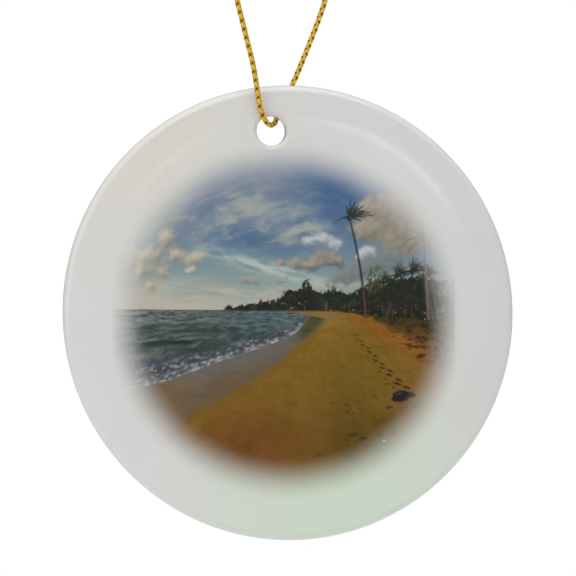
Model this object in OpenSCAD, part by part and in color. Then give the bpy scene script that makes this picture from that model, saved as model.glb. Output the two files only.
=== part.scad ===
// Souvenir Christmas ornament: a round porcelain disc with a printed glossy
// coating, hung from a loop of gold braided cord that is knotted at the top.
// The origin is the hang point, inside the top of the loop.
// The printed face looks towards -Y, and the disc hangs straight below.

/* [Disc] */
// Diameter over the rounded edge
disc_d = 73; // [60:1:90]
// Thickness over the coating
disc_t = 3; // [2.6:0.1:4]
// Height of the hang point above the middle of the disc
hang_height = 90; // [90:1:100]
// Radius where the flat front starts to fall away to the edge
flat_r = 30.4; // [28:0.1:31]
// Slope of the front between the flat and the edge, in degrees
rim_slope = 6; // [3:1:9]
// Thickness of the printable coating on the front
coat_t = 0.1; // [0.05:0.01:0.2]

/* [Hanging hole] */
// Diameter of the hole
hole_d = 4.8; // [4.6:0.1:5.2]
// Distance from the middle of the disc to the middle of the hole
hole_r = 29.25; // [28:0.05:29.4]
// Angle of the hole from straight up, positive to the left
hole_turn = 6; // [0:1:8]
// Radius of the glazed lip round the hole, front and back
hole_lip = 0.8; // [0.7:0.1:1]

/* [Cord] */
// Diameter of the braided cord
cord_d = 0.9; // [0.7:0.05:1]
// Diameter of the tied knot
knot_d = 4.4; // [3.6:0.2:5]
// Height of the tied knot
knot_h = 4.2; // [3.6:0.2:5]

/* [Hidden] */

disc_r = disc_d / 2;
half_t = disc_t / 2;
hole_x = -hole_r * sin(hole_turn);
hole_z = hole_r * cos(hole_turn);

// Edge of the disc: a front round, a back round and an upright band between
bend_r = 25;
edge_r = 1.3;
edge_steps = 8;
coat_end_r = disc_r - 0.9;
overshoot = 1;
smooth = 128;

// Knot: flat where the cord's legs come in and where its tails go out
knot_z = 3.6;
knot_flat_r = 1.4;
knot_steps = 10;

cord_sides = 8;
steps_between = 2;
// Sideways direction that no stretch of the cord runs along
loop_side = [0.82, -0.57, 0];
tail_side = [0, 1, 0];

// Middle of the cord from the knot down the front leg, back through the hole
// and up the back leg to the knot again
loop_route = [
    [-0.6, 0, 3.6], [-0.6, 0, 2], [-1.1, -0.1, 0.2], [-2.25, -0.3, -2.2],
    [-3.8, -0.5, -5], [-5.65, -0.8, -8.6], [-7.45, -1.2, -13.2], [-8.95, -1.6, -19],
    [-9.65, -1.9, -25.4], [-9.7, -2.1, -32], [-9.1, -2.2, -38.6], [-8, -2.2, -43.4],
    [-7.1, -2.2, -47], [-6.3, -2.2, -50.2], [-5.8, -2.2, -53], [-5.4, -2.2, -55.4],
    [-5.1, -2.2, -57.2], [-4.6, -2, -58.6], [-4, -1.3, -59.5], [-3.3, -0.4, -59.9],
    [-2.6, 0.5, -59.8], [-2.1, 1.4, -59.3], [-1.6, 2.1, -58.3], [-1.1, 2.2, -57],
    [-0.2, 2.2, -55.2], [0.9, 2.2, -53], [2.1, 2.2, -50.2], [3.4, 2.2, -47],
    [4.8, 2.2, -43.4], [6.3, 2.2, -39], [7.9, 2.1, -32.6], [8.65, 1.9, -25.8],
    [8.35, 1.6, -19], [7.15, 1.2, -13.2], [5.45, 0.8, -8.6], [3.7, 0.5, -5],
    [2.15, 0.3, -2.2], [1.1, 0.1, 0.2], [0.6, 0, 2], [0.6, 0, 3.6]
];

// Middle of each free end, from the top of the knot outwards
left_tail = [
    [-0.6, 0, 7.8], [-0.6, 0, 8.6], [-1.2, -0.2, 9.6], [-2.4, -0.4, 10.2],
    [-3.8, -0.5, 10.1], [-5.1, -0.5, 9.3], [-6, -0.4, 8], [-6.5, -0.4, 6.5]
];
right_tail = [
    [0.6, 0, 7.8], [0.6, 0, 8.4], [1.3, 0.2, 9.3], [2.5, 0.4, 9.6],
    [3.8, 0.5, 9.1], [4.7, 0.5, 8], [5.2, 0.4, 6.6]
];

function unit(v) = v / norm(v);

// One point of the smooth curve through b and c, at the share t between them
function between(a, b, c, d, t) =
    0.5 * (2 * b + (c - a) * t + (2 * a - 5 * b + 4 * c - d) * t * t
    + (3 * b - a - 3 * c + d) * t * t * t);

// A route with points added between its own, on one smooth curve
function smoothed(route) =
    let (last = len(route) - 1)
    [
        for (i = [0:last - 1])
            let (before = route[max(i - 1, 0)], after = route[min(i + 2, last)])
            for (step = [0:steps_between - 1])
                between(before, route[i], route[i + 1], after, step / steps_between),
        route[last]
    ];

// Direction of each point of the smooth line. Its ends keep the directions of
// the route's own end stretches, so that the tube's ends are square to them.
function headings(line, route) =
    let (last = len(line) - 1, stretches = len(route) - 1)
    [
        unit(route[1] - route[0]),
        for (i = [1:last - 1]) unit(line[i + 1] - line[i - 1]),
        unit(route[stretches] - route[stretches - 1])
    ];

// Corner k of the ring round a point of the line, square to the way ahead
function ring_point(middle, ahead, k, side) =
    let (
        across = unit(side - ahead * (side * ahead)),
        up = cross(ahead, across),
        angle = 360 * k / cord_sides
    )
    middle + cord_d / 2 * (cos(angle) * across + sin(angle) * up);

// A plain tube along a smooth route
module tube(route, side) {
    line = smoothed(route);
    ahead = headings(line, route);
    rings = len(line);
    points = [
        for (i = [0:rings - 1], k = [0:cord_sides - 1])
            ring_point(line[i], ahead[i], k, side)
    ];
    walls = [
        for (i = [0:rings - 2], k = [0:cord_sides - 1])
            let (next = (k + 1) % cord_sides, low = i * cord_sides, high = low + cord_sides)
            [low + k, high + k, high + next, low + next]
    ];
    start_cap = [for (k = [0:cord_sides - 1]) k];
    end_cap = [for (k = [cord_sides - 1:-1:0]) (rings - 1) * cord_sides + k];
    polyhedron(points, concat([start_cap], walls, [end_cap]), convexity = 8);
}

// Points of an arc, from one angle to another
function arc(middle, radius, from, to, steps) =
    [for (i = [0:steps]) let (a = from + (to - from) * i / steps) middle + radius * [cos(a), sin(a)]];

// Front of the disc from its axis out to the edge round. It is flat, bends
// over a large radius to the rim's slope and then runs straight.
slope_start_r = flat_r + bend_r * sin(rim_slope);
slope_start_y = half_t - bend_r * (1 - cos(rim_slope));
edge_centre_r = disc_r - edge_r;
edge_top_r = edge_centre_r + edge_r * sin(rim_slope);
edge_top_y = slope_start_y - (edge_top_r - slope_start_r) * tan(rim_slope);
front_edge_y = edge_top_y - edge_r * cos(rim_slope);

function front_line() = concat(
    [[0, half_t]],
    arc([flat_r, half_t - bend_r], bend_r, 90, 90 - rim_slope, 4)
);

module disc_outline() {
    back_edge_y = edge_r - half_t;
    polygon(concat(
        front_line(),
        arc([edge_centre_r, front_edge_y], edge_r, 90 - rim_slope, 0, edge_steps),
        arc([edge_centre_r, back_edge_y], edge_r, 0, -90, edge_steps),
        [[0, -half_t]]
    ));
}

// Everything within the coating's thickness of the front, out to the coating's edge
module coating_outline() {
    lift = [0, overshoot];
    sink = [0, -coat_t];
    end_y = slope_start_y - (coat_end_r - slope_start_r) * tan(rim_slope);
    line = concat(front_line(), [[coat_end_r, end_y]]);
    last = len(line) - 1;
    polygon(concat(
        [for (p = line) p + lift],
        [for (i = [last:-1:0]) line[i] + sink]
    ));
}

// The hole with its rounded lips, as the space to take away
module hole_outline() {
    bore_r = hole_d / 2;
    lip_r = bore_r + hole_lip;
    lip_y = half_t - hole_lip;
    polygon(concat(
        [[0, half_t + overshoot], [lip_r, half_t + overshoot]],
        arc([lip_r, lip_y], hole_lip, 90, 180, edge_steps),
        arc([lip_r, -lip_y], hole_lip, 180, 270, edge_steps),
        [[lip_r, -half_t - overshoot], [0, -half_t - overshoot]]
    ));
}

// Puts a shape made round the Z axis in the disc's place, its top to the front
module in_disc_place() {
    translate([0, 0, -hang_height])
        rotate([90, 0, 0])
            children();
}

module hole() {
    translate([hole_x, hole_z, 0])
        rotate_extrude($fn = smooth)
            hole_outline();
}

// White porcelain blank, with the recess that the coating fills
module ceramic_disc() {
    color([0.93, 0.93, 0.91])
        in_disc_place()
            difference() {
                rotate_extrude($fn = smooth) disc_outline();
                rotate_extrude($fn = smooth) coating_outline();
                hole();
            }
}

// Glossy coating with the picture in it, flush with the glaze at its edge
module printed_coating() {
    color([0.62, 0.6, 0.56])
        in_disc_place()
            difference() {
                intersection() {
                    rotate_extrude($fn = smooth) disc_outline();
                    rotate_extrude($fn = smooth) coating_outline();
                }
                hole();
            }
}

// Both legs of the loop, with the turn through the hole
module hanging_cord() {
    color([0.85, 0.66, 0.16])
        tube(loop_route, loop_side);
}

// Overhand knot that ties the two legs together
module cord_knot() {
    flat_angle = acos(knot_flat_r * 2 / knot_d);
    color([0.8, 0.6, 0.14])
        translate([0, 0, knot_z])
            rotate_extrude($fn = 48)
                polygon(concat(
                    [[0, 0]],
                    [
                        for (i = [0:knot_steps])
                            let (a = flat_angle * (2 * i / knot_steps - 1))
                            [knot_d / 2 * cos(a), knot_h / 2 * (1 + sin(a) / sin(flat_angle))]
                    ],
                    [[0, knot_h]]
                ));
}

// The two short ends that stand out of the knot and droop
module cord_tails() {
    color([0.85, 0.66, 0.16]) {
        tube(left_tail, tail_side);
        tube(right_tail, tail_side);
    }
}

ceramic_disc();
printed_coating();
hanging_cord();
cord_knot();
cord_tails();
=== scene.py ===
import math

import bmesh
import bpy
import numpy as np
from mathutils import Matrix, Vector
from mathutils.geometry import delaunay_2d_cdt


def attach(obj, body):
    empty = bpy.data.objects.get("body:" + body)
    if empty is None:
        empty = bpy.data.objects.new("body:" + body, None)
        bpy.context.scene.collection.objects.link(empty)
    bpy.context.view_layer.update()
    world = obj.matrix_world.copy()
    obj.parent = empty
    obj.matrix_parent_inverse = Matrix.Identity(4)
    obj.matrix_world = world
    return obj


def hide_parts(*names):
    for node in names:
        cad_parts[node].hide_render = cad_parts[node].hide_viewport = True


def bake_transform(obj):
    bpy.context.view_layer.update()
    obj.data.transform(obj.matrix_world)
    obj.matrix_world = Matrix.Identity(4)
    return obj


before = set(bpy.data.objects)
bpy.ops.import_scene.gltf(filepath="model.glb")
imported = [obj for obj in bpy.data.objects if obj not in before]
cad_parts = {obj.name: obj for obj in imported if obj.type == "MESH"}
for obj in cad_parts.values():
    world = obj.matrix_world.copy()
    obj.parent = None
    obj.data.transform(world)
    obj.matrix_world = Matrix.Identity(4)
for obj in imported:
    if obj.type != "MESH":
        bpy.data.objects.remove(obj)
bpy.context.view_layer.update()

# A souvenir Christmas ornament: a round porcelain disc with a beach printed in
# its glossy coating, on a loop of braided gold cord that is knotted at the top.
# Everything is in the part's own frame. Sizes here are in mm, and MM turns them
# into Blender's metres. The disc's own X and Z run from its middle.
MM = 0.001

# ---- sizes, as in the CAD ----
DISC_MIDDLE = np.array((0.0, 0.0, -90.0))
DISC_R = 36.5
HALF_T = 1.5
FLAT_R = 30.4
RIM_SLOPE = math.radians(6)
BEND_R = 25.0
EDGE_R = 1.3
COAT_T = 0.1
COAT_END_R = DISC_R - 0.9
HOLE_R = 2.4
HOLE_LIP = 0.8
LIP_R = HOLE_R + HOLE_LIP
HOLE_TURN = math.radians(6)
HOLE = 29.25 * np.array((-math.sin(HOLE_TURN), math.cos(HOLE_TURN)))
CORD_D = 0.9

# ---- the camera, at the angle that the photograph was taken from, in degrees ----
AIM = Vector((-0.00024, 0, -0.08609))
CAMERA_AZIMUTH = -8.9
CAMERA_ELEVATION = -2.6
CAMERA_DISTANCE = 0.7
CAMERA_LENS = 272.7

# ---- the cord: the routes in part.scad ----
LOOP_ROUTE = [
    (-0.6, 0, 3.6), (-0.6, 0, 2), (-1.1, -0.1, 0.2), (-2.25, -0.3, -2.2),
    (-3.8, -0.5, -5), (-5.65, -0.8, -8.6), (-7.45, -1.2, -13.2), (-8.95, -1.6, -19),
    (-9.65, -1.9, -25.4), (-9.7, -2.1, -32), (-9.1, -2.2, -38.6), (-8, -2.2, -43.4),
    (-7.1, -2.2, -47), (-6.3, -2.2, -50.2), (-5.8, -2.2, -53), (-5.4, -2.2, -55.4),
    (-5.1, -2.2, -57.2), (-4.6, -2, -58.6), (-4, -1.3, -59.5), (-3.3, -0.4, -59.9),
    (-2.6, 0.5, -59.8), (-2.1, 1.4, -59.3), (-1.6, 2.1, -58.3), (-1.1, 2.2, -57),
    (-0.2, 2.2, -55.2), (0.9, 2.2, -53), (2.1, 2.2, -50.2), (3.4, 2.2, -47),
    (4.8, 2.2, -43.4), (6.3, 2.2, -39), (7.9, 2.1, -32.6), (8.65, 1.9, -25.8),
    (8.35, 1.6, -19), (7.15, 1.2, -13.2), (5.45, 0.8, -8.6), (3.7, 0.5, -5),
    (2.15, 0.3, -2.2), (1.1, 0.1, 0.2), (0.6, 0, 2), (0.6, 0, 3.6),
]
LEFT_TAIL = [
    (-0.6, 0, 7.8), (-0.6, 0, 8.6), (-1.2, -0.2, 9.6), (-2.4, -0.4, 10.2),
    (-3.8, -0.5, 10.1), (-5.1, -0.5, 9.3), (-6, -0.4, 8), (-6.5, -0.4, 6.5),
]
RIGHT_TAIL = [
    (0.6, 0, 7.8), (0.6, 0, 8.4), (1.3, 0.2, 9.3), (2.5, 0.4, 9.6),
    (3.8, 0.5, 9.1), (4.7, 0.5, 8), (5.2, 0.4, 6.6),
]

# ---- the braid: four flat strands over a core, which is painted all in the dark shade of the gaps ----
POINTS_PER_SPAN = 16
RING_STEP = 0.13
FIRST_SIDEWAYS = (0.31, 0.95, 0.05)
BRAID_PITCH = 2.8
STRAND_R = 0.265
STRAND_SWAY = 0.06
STRAND_HALF_WIDE = 0.31
STRAND_HALF_THICK = 0.13
STRAND_SIDES = 8
STRAND_EDGE_SHADE = 0.9
STRANDS = [(1, 0.0), (1, math.pi), (-1, 0.0), (-1, math.pi)]
THREAD_SHIFT = 0.37
CORE_R = 0.2
CORE_SIDES = 6
FLARE = 0.14
FLARE_LENGTH = 1.3
FRAY_COUNT = 26
FIBRE_R = 0.035
FIBRE_STEPS = 6
FIBRE_SIDES = 4
FIBRE_LIFT = 0.8

# ---- the overhand knot: shares and heights along a cord's way through it ----
KNOT_POINTS = 120
KNOT_R = 1.28
WRAP_START = 0.2
WRAP_SHARE = 0.62
WRAP_FROM = -2.2
WRAP_TURNS = 1.5
KNOT_SHARES = [0, 0.14, 0.26, 0.74, 0.88, 1]
KNOT_HEIGHTS = [3.5, 5.2, 6.75, 4.75, 5.9, 7.9]
HEIGHT_EASE = 6
CORDS_APART = 0.6
CORDS_CLOSER = 0.14


def smoothed(route):
    """Even points along the smooth curve through a route, the curve that part.scad draws."""
    p = np.array(route, float)
    p = np.vstack([p[:1], p, p[-1:]])
    t = np.linspace(0, 1, POINTS_PER_SPAN, endpoint=False)[:, None]
    parts = []
    for a, b, c, d in zip(p[:-3], p[1:-2], p[2:-1], p[3:]):
        square = 2 * a - 5 * b + 4 * c - d
        cube = 3 * b - a - 3 * c + d
        parts.append(0.5 * (2 * b + (c - a) * t + square * t**2 + cube * t**3))
    line = np.vstack([*parts, p[-1:]])
    run = np.concatenate([[0], np.cumsum(np.linalg.norm(np.diff(line, axis=0), axis=1))])
    even = np.linspace(0, run[-1], max(3, int(round(run[-1] / RING_STEP)) + 1))
    return np.stack([np.interp(even, run, line[:, k]) for k in range(3)], axis=1)


def ease(low, high, value):
    """0 below low, 1 above high and smooth between them, or the other way round if low is the higher."""
    t = np.clip((value - low) / (high - low), 0.0, 1.0)
    return t * t * (3.0 - 2.0 * t)


def unit(v):
    """Vectors at length 1."""
    return v / np.maximum(np.linalg.norm(v, axis=-1, keepdims=True), 1e-12)


def carried_frames(line):
    """The way ahead and two crosswise directions at each point, carried along without twist."""
    ahead = unit(np.gradient(line, axis=0))
    across = [unit(np.cross(ahead[0], FIRST_SIDEWAYS))]
    for t in ahead[1:]:
        across.append(unit(across[-1] - t * (across[-1] @ t)))
    across = np.array(across)
    return ahead, across, np.cross(ahead, across)


def joined(parts):
    """One mesh's points, faces and values from several: each is (points, faces, values by name)."""
    points, faces, values, start = [], [], {}, 0
    for p, f, v in parts:
        points.append(p)
        faces.extend([tuple(start + k for k in face) for face in f])
        for name, value in v.items():
            values.setdefault(name, []).append(value)
        start += len(p)
    return np.vstack(points), faces, {name: np.concatenate(v) for name, v in values.items()}


def round_rings(line, radius, sides):
    """Points of the round rings of a tube along a line."""
    _, across, up = carried_frames(line)
    turn = 2 * math.pi * np.arange(sides) / sides
    spokes = np.cos(turn)[None, :, None] * across[:, None] + np.sin(turn)[None, :, None] * up[:, None]
    return (line[:, None] + radius * spokes).reshape(-1, 3)


def ring_quads(low, high, sides):
    """Quads between two rings, from the numbers of their first points."""
    after = [(k + 1) % sides for k in range(sides)]
    return [(low + k, low + after[k], high + after[k], high + k) for k in range(sides)]


def tube_faces(rings, sides):
    """Quads between rings of points, and a face at each end."""
    faces = [tuple(range(sides))[::-1]]
    for i in range(rings - 1):
        low, high = i * sides, (i + 1) * sides
        faces += ring_quads(low, high, sides)
    faces.append(tuple((rings - 1) * sides + k for k in range(sides)))
    return faces


def strand(line, frames, way, phase, index, flare):
    """One flat strand that winds round a line and goes over and under the others."""
    _, across, up = frames
    run = np.arange(len(line)) * np.linalg.norm(line[1] - line[0])
    angle = way * 2 * math.pi * run / BRAID_PITCH + phase
    out = np.cos(angle)[:, None] * across + np.sin(angle)[:, None] * up
    radius = STRAND_R + way * STRAND_SWAY * np.cos(4 * math.pi * run / BRAID_PITCH)
    radius = radius + flare * np.clip(1 - (run[-1] - run) / FLARE_LENGTH, 0, 1) ** 2
    middle = line + radius[:, None] * out
    along = unit(np.gradient(middle, axis=0))
    side = unit(np.cross(along, out))
    out = np.cross(side, along)
    turn = 2 * math.pi * np.arange(STRAND_SIDES) / STRAND_SIDES
    wide, thick = STRAND_HALF_WIDE * np.cos(turn), STRAND_HALF_THICK * np.sin(turn)
    points = middle[:, None] + wide[None, :, None] * side[:, None] + thick[None, :, None] * out[:, None]

    # For the material: how far out a point lies, and its place across and along the strand. The first paints
    # shade, darker towards the core and at the strand's edges
    reach = np.linalg.norm(points - line[:, None], axis=2)
    # Painted shade at the strand's edges, where they roll under its neighbours
    rolled = 1 - STRAND_EDGE_SHADE * np.abs(np.cos(turn)) ** 3
    lift = np.clip((reach - CORE_R) / (CORD_D / 2 - CORE_R), 0, 1) * rolled
    thread = np.zeros((len(line), STRAND_SIDES, 3))
    thread[:, :, 0] = np.cos(turn)[None]
    thread[:, :, 1] = run[:, None]
    thread[:, :, 2] = index + THREAD_SHIFT * np.sin(turn)[None]
    values = {"lift": lift.ravel(), "thread": thread.reshape(-1, 3)}
    return points.reshape(-1, 3), tube_faces(len(line), STRAND_SIDES), values


def braid(line, flare=0.0):
    """The four strands and the core of a braided cord along a line, opening at its end by flare."""
    frames = carried_frames(line)
    parts = [strand(line, frames, way, phase, k, flare) for k, (way, phase) in enumerate(STRANDS)]
    thin = line[::2]
    points = round_rings(thin, CORE_R, CORE_SIDES)
    # The core is painted all in the dark shade of the gaps between the strands
    values = {"lift": np.zeros(len(points)), "thread": np.zeros((len(points), 3))}
    parts.append((points, tube_faces(len(thin), CORE_SIDES), values))
    return joined(parts)


def fibre(start, way, length, droop):
    """One thin metal fibre that stands out of a frayed end."""
    t = np.linspace(0, 1, FIBRE_STEPS)[:, None]
    line = start + way * length * t + np.array((0, 0, -droop)) * t**2
    radius = FIBRE_R * (1 - 0.5 * t)
    points = round_rings(line, radius[:, :, None], FIBRE_SIDES)
    values = {"lift": np.full(len(points), FIBRE_LIFT), "thread": np.repeat(line, FIBRE_SIDES, axis=0)}
    return points, tube_faces(len(line), FIBRE_SIDES), values


def frayed(line, seed):
    """A braided end that is cut off and has begun to fray."""
    rng = np.random.default_rng(seed)
    ahead = unit(line[-1] - line[-4])
    parts = [braid(line, FLARE)]
    for _ in range(FRAY_COUNT):
        out = unit(np.cross(ahead, rng.normal(size=3)))
        start = line[-1] - 0.15 * ahead + out * rng.uniform(0.04, 0.36)
        way = unit(ahead + out * rng.uniform(0.1, 0.5))
        length = rng.uniform(0.3, 0.75)
        droop = rng.uniform(0, 0.08)
        parts.append(fibre(start, way, length, droop))
    return joined(parts)


def knot_lines():
    """The middles of both cords through the knot: up, over, once and a half round and up through."""
    t = np.linspace(0, 1, KNOT_POINTS)
    wrap = ease(0, 1, (t - WRAP_START) / WRAP_SHARE)
    angle = WRAP_FROM + 2 * math.pi * WRAP_TURNS * wrap
    out = KNOT_R * np.sin(math.pi * np.clip((t - 0.06) / 0.88, 0, 1)) ** 0.45
    window = 2 * HEIGHT_EASE + 1
    height = np.pad(np.interp(t, KNOT_SHARES, KNOT_HEIGHTS), HEIGHT_EASE, mode="edge")
    height = np.convolve(height, np.ones(window) / window, mode="valid")
    middle = np.stack([out * np.cos(angle), out * np.sin(angle), height], axis=1)

    # The second cord lies beside the first one, and above it where both go round
    upright = np.clip(np.sin(math.pi * t) * 1.8 - 0.5, 0, 1)[:, None]
    turn = 2 * math.pi * wrap[:, None] * 0.5
    flat = np.hstack([np.cos(turn), np.sin(turn), np.zeros_like(turn)])
    apart = unit(flat * (1 - upright) + np.array((0, 0, 1.0)) * upright)
    apart = apart * (CORDS_APART - CORDS_CLOSER * upright)
    return [middle - apart, middle + apart]


ATTRIBUTE_KINDS = {1: ("FLOAT", "value"), 3: ("FLOAT_VECTOR", "vector"), 4: ("FLOAT_COLOR", "color")}


def mesh_piece(name, material, points, faces, values=None):
    """A piece from points in mm, its faces and its values at each point."""
    mesh = bpy.data.meshes.new(name)
    mesh.from_pydata((np.asarray(points) * MM).tolist(), [], faces)
    for key, value in (values or {}).items():
        kind, field = ATTRIBUTE_KINDS[1 if value.ndim == 1 else value.shape[1]]
        layer = mesh.attributes.new(key, kind, "POINT")
        layer.data.foreach_set(field, value.astype(np.float32).ravel())
    mesh.update()
    mesh.validate()
    mesh.shade_smooth()
    mesh.materials.append(material)
    made = bpy.data.objects.new(name, mesh)
    bpy.context.scene.collection.objects.link(made)
    return made


# ---- materials ----
def new_material(name):
    """An empty node material: its tree and its shader."""
    material = bpy.data.materials.new(name)
    material.use_nodes = True
    tree = material.node_tree
    return material, tree, tree.nodes["Principled BSDF"]


def add(tree, kind, inputs=None, **settings):
    """A node with its settings, and its inputs joined to sockets or set to values."""
    made = tree.nodes.new(kind)
    for name, value in settings.items():
        setattr(made, name, value)
    for name, value in (inputs or {}).items():
        join(tree, value, made.inputs[name])
    return made


def join(tree, value, socket):
    """Joins a socket to another, or sets its value."""
    if isinstance(value, bpy.types.NodeSocket):
        tree.links.new(value, socket)
    else:
        socket.default_value = value


def mixed(tree, share, a, b, blend="MIX"):
    """A mix of two colours."""
    made = add(tree, "ShaderNodeMix", data_type="RGBA", blend_type=blend)
    join(tree, share, made.inputs[0])
    join(tree, a, made.inputs[6])
    join(tree, b, made.inputs[7])
    return made.outputs[2]


def ranged(tree, value, low, high, to_low=0.0, to_high=1.0):
    """A value moved from one range to another, and kept inside it."""
    made = add(tree, "ShaderNodeMapRange", {"Value": value, "From Min": low, "From Max": high,
                                            "To Min": to_low, "To Max": to_high})
    return made.outputs["Result"]


def product(tree, a, b):
    """Two values multiplied."""
    return add(tree, "ShaderNodeMath", {0: a, 1: b}, operation="MULTIPLY").outputs["Value"]


def total(tree, a, b):
    """Two values added."""
    return add(tree, "ShaderNodeMath", {0: a, 1: b}, operation="ADD").outputs["Value"]


def either(tree, share, a, b):
    """The first value where the share is 0, and the second where it is 1."""
    return add(tree, "ShaderNodeMix", {0: share, 2: a, 3: b}, data_type="FLOAT").outputs[0]


def noise_of(tree, vector, scale, detail=3.0):
    """Soft noise, from about 0.3 to 0.7."""
    made = add(tree, "ShaderNodeTexNoise", {"Vector": vector, "Scale": scale, "Detail": detail})
    return made.outputs["Fac"]


def object_place(tree, offset=(0, 0, 0), scale=(1, 1, 1)):
    """Each point's place in the part's frame, in metres, shifted and scaled."""
    place = add(tree, "ShaderNodeTexCoord").outputs["Object"]
    moved = add(tree, "ShaderNodeMapping", {"Vector": place, "Location": offset, "Scale": scale})
    return moved.outputs["Vector"]


GOLD = (1.0, 0.67, 0.02, 1)
GOLD_PALE = (1.0, 0.84, 0.10, 1)
GOLD_DEEP = (0.80, 0.44, 0.012, 1)
# Painted shade in the gaps between the cord's strands
CREVICE_SHADE = (0.24, 0.095, 0.004, 1)
GLAZE = (0.79, 0.787, 0.78, 1)
# Painted reflections on the glaze's front: a warm one and a green one, and their middles in metres
WARM_REFLECTION_TINT = (0.80, 0.77, 0.685, 1)
GREEN_REFLECTION_TINT = (0.715, 0.84, 0.675, 1)
WARM_REFLECTION_MIDDLE = (-0.024, -0.062)
GREEN_REFLECTION_MIDDLE = (0.009, -0.123)
CLOUD_GREY = (0.5, 0.5, 0.48, 1)
SPECK = (0.42, 0.38, 0.32, 1)
INK_GRAIN = (0.55, 0.55, 0.55, 1)


def gold_braid_material():
    """Metal yarn in fine lengthwise fibres, with painted shade: bright on each strand's crown, brown in the
    gaps.
    """
    material, tree, shader = new_material("gold_braid")
    lift = add(tree, "ShaderNodeAttribute", attribute_name="lift").outputs["Fac"]
    thread = add(tree, "ShaderNodeAttribute", attribute_name="thread").outputs["Vector"]
    stretched = add(tree, "ShaderNodeMapping", {"Vector": thread, "Scale": (5.5, 0.9, 3.1)}).outputs["Vector"]
    fibres = noise_of(tree, stretched, scale=1.6, detail=4.0)
    patches = noise_of(tree, object_place(tree), scale=420.0, detail=2.0)
    yarn = mixed(tree, ranged(tree, fibres, 0.36, 0.64), GOLD_DEEP, GOLD)
    yarn = mixed(tree, ranged(tree, fibres, 0.54, 0.68), yarn, GOLD_PALE)
    yarn = mixed(tree, ranged(tree, patches, 0.4, 0.7, 0.0, 0.35), yarn, GOLD_DEEP)
    # Painted shade: brown deep between the strands, the yarn's own colour on their crowns
    colour = mixed(tree, ranged(tree, lift, 0.25, 0.74), CREVICE_SHADE, yarn)
    join(tree, colour, shader.inputs["Base Color"])
    shader.inputs["Metallic"].default_value = 0.25
    join(tree, ranged(tree, fibres, 0.35, 0.65, 0.42, 0.24), shader.inputs["Roughness"])
    bump = add(tree, "ShaderNodeBump", {"Height": fibres, "Strength": 0.5, "Distance": 0.00005})
    join(tree, bump.outputs["Normal"], shader.inputs["Normal"])
    return material


def distance_from(tree, x, z):
    """How far each point is from a place on the disc's face, in metres."""
    flat = add(tree, "ShaderNodeVectorMath", {0: object_place(tree, (-x, 0, -z)), 1: (1, 0, 1)},
               operation="MULTIPLY").outputs[0]
    return add(tree, "ShaderNodeVectorMath", {0: flat}, operation="LENGTH").outputs["Value"]


def glaze_with_painted_reflections(tree):
    """Fired white, and on the front faint painted reflections: warm at the upper left and green at the
    bottom.
    """
    # Painted reflections, fading out from their middles
    warm_reflection_share = ranged(tree, distance_from(tree, *WARM_REFLECTION_MIDDLE), 0.027, 0.004, 0.0, 0.75)
    green_reflection_share = ranged(tree, distance_from(tree, *GREEN_REFLECTION_MIDDLE), 0.032, 0.006, 0.0, 0.85)
    depth = add(tree, "ShaderNodeSeparateXYZ", {0: object_place(tree)}).outputs["Y"]
    front = ranged(tree, depth, 0.0008, -0.0008)
    # The painted reflections go on the front only
    colour = mixed(tree, product(tree, warm_reflection_share, front), GLAZE, WARM_REFLECTION_TINT)
    colour = mixed(tree, product(tree, green_reflection_share, front), colour, GREEN_REFLECTION_TINT)
    cloudy = noise_of(tree, object_place(tree), scale=70.0, detail=2.0)
    return mixed(tree, ranged(tree, cloudy, 0.3, 0.7, 0.0, 0.03), colour, CLOUD_GREY, "MULTIPLY")


def glaze_finish(tree, shader):
    """Gloss with the slight unevenness of poured glaze."""
    waves = noise_of(tree, object_place(tree), scale=95.0, detail=2.0)
    smears = noise_of(tree, object_place(tree), scale=260.0)
    join(tree, ranged(tree, smears, 0.3, 0.7, 0.09, 0.14), shader.inputs["Roughness"])
    bump = add(tree, "ShaderNodeBump", {"Height": waves, "Strength": 0.35, "Distance": 0.00006})
    join(tree, bump.outputs["Normal"], shader.inputs["Normal"])
    shader.inputs["IOR"].default_value = 1.5


def porcelain_material():
    """White glazed porcelain with a few tiny specks fired into it, and the glaze's faint painted reflections
    on its front.
    """
    material, tree, shader = new_material("glazed_porcelain")
    specks = noise_of(tree, object_place(tree), scale=2600.0, detail=1.0)
    colour = mixed(tree, ranged(tree, specks, 0.76, 0.80, 0.0, 0.4), glaze_with_painted_reflections(tree), SPECK)
    join(tree, colour, shader.inputs["Base Color"])
    glaze_finish(tree, shader)
    return material


def coating_material():
    """The clear gloss coat, with the picture's ink in it and the white glaze, with its faint painted
    reflections, showing where there is none.
    """
    material, tree, shader = new_material("printed_gloss_coating")
    ink_colour = add(tree, "ShaderNodeAttribute", attribute_name="ink_colour").outputs["Color"]
    share = add(tree, "ShaderNodeAttribute", attribute_name="ink_share").outputs["Fac"]
    grain = noise_of(tree, object_place(tree), scale=5200.0, detail=2.0)
    printed = mixed(tree, ranged(tree, grain, 0.3, 0.7, 0.0, 0.10), ink_colour, INK_GRAIN, "MULTIPLY")
    colour = mixed(tree, share, glaze_with_painted_reflections(tree), printed)
    join(tree, colour, shader.inputs["Base Color"])
    glaze_finish(tree, shader)
    return material


def floor_material():
    """A plain pale studio floor."""
    material, tree, shader = new_material("studio_floor")
    cloudy = noise_of(tree, object_place(tree), scale=3.0, detail=2.0)
    colour = mixed(tree, ranged(tree, cloudy, 0.3, 0.7), (0.86, 0.86, 0.85, 1), (0.89, 0.89, 0.88, 1))
    join(tree, colour, shader.inputs["Base Color"])
    shader.inputs["Roughness"].default_value = 0.9
    return material


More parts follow.
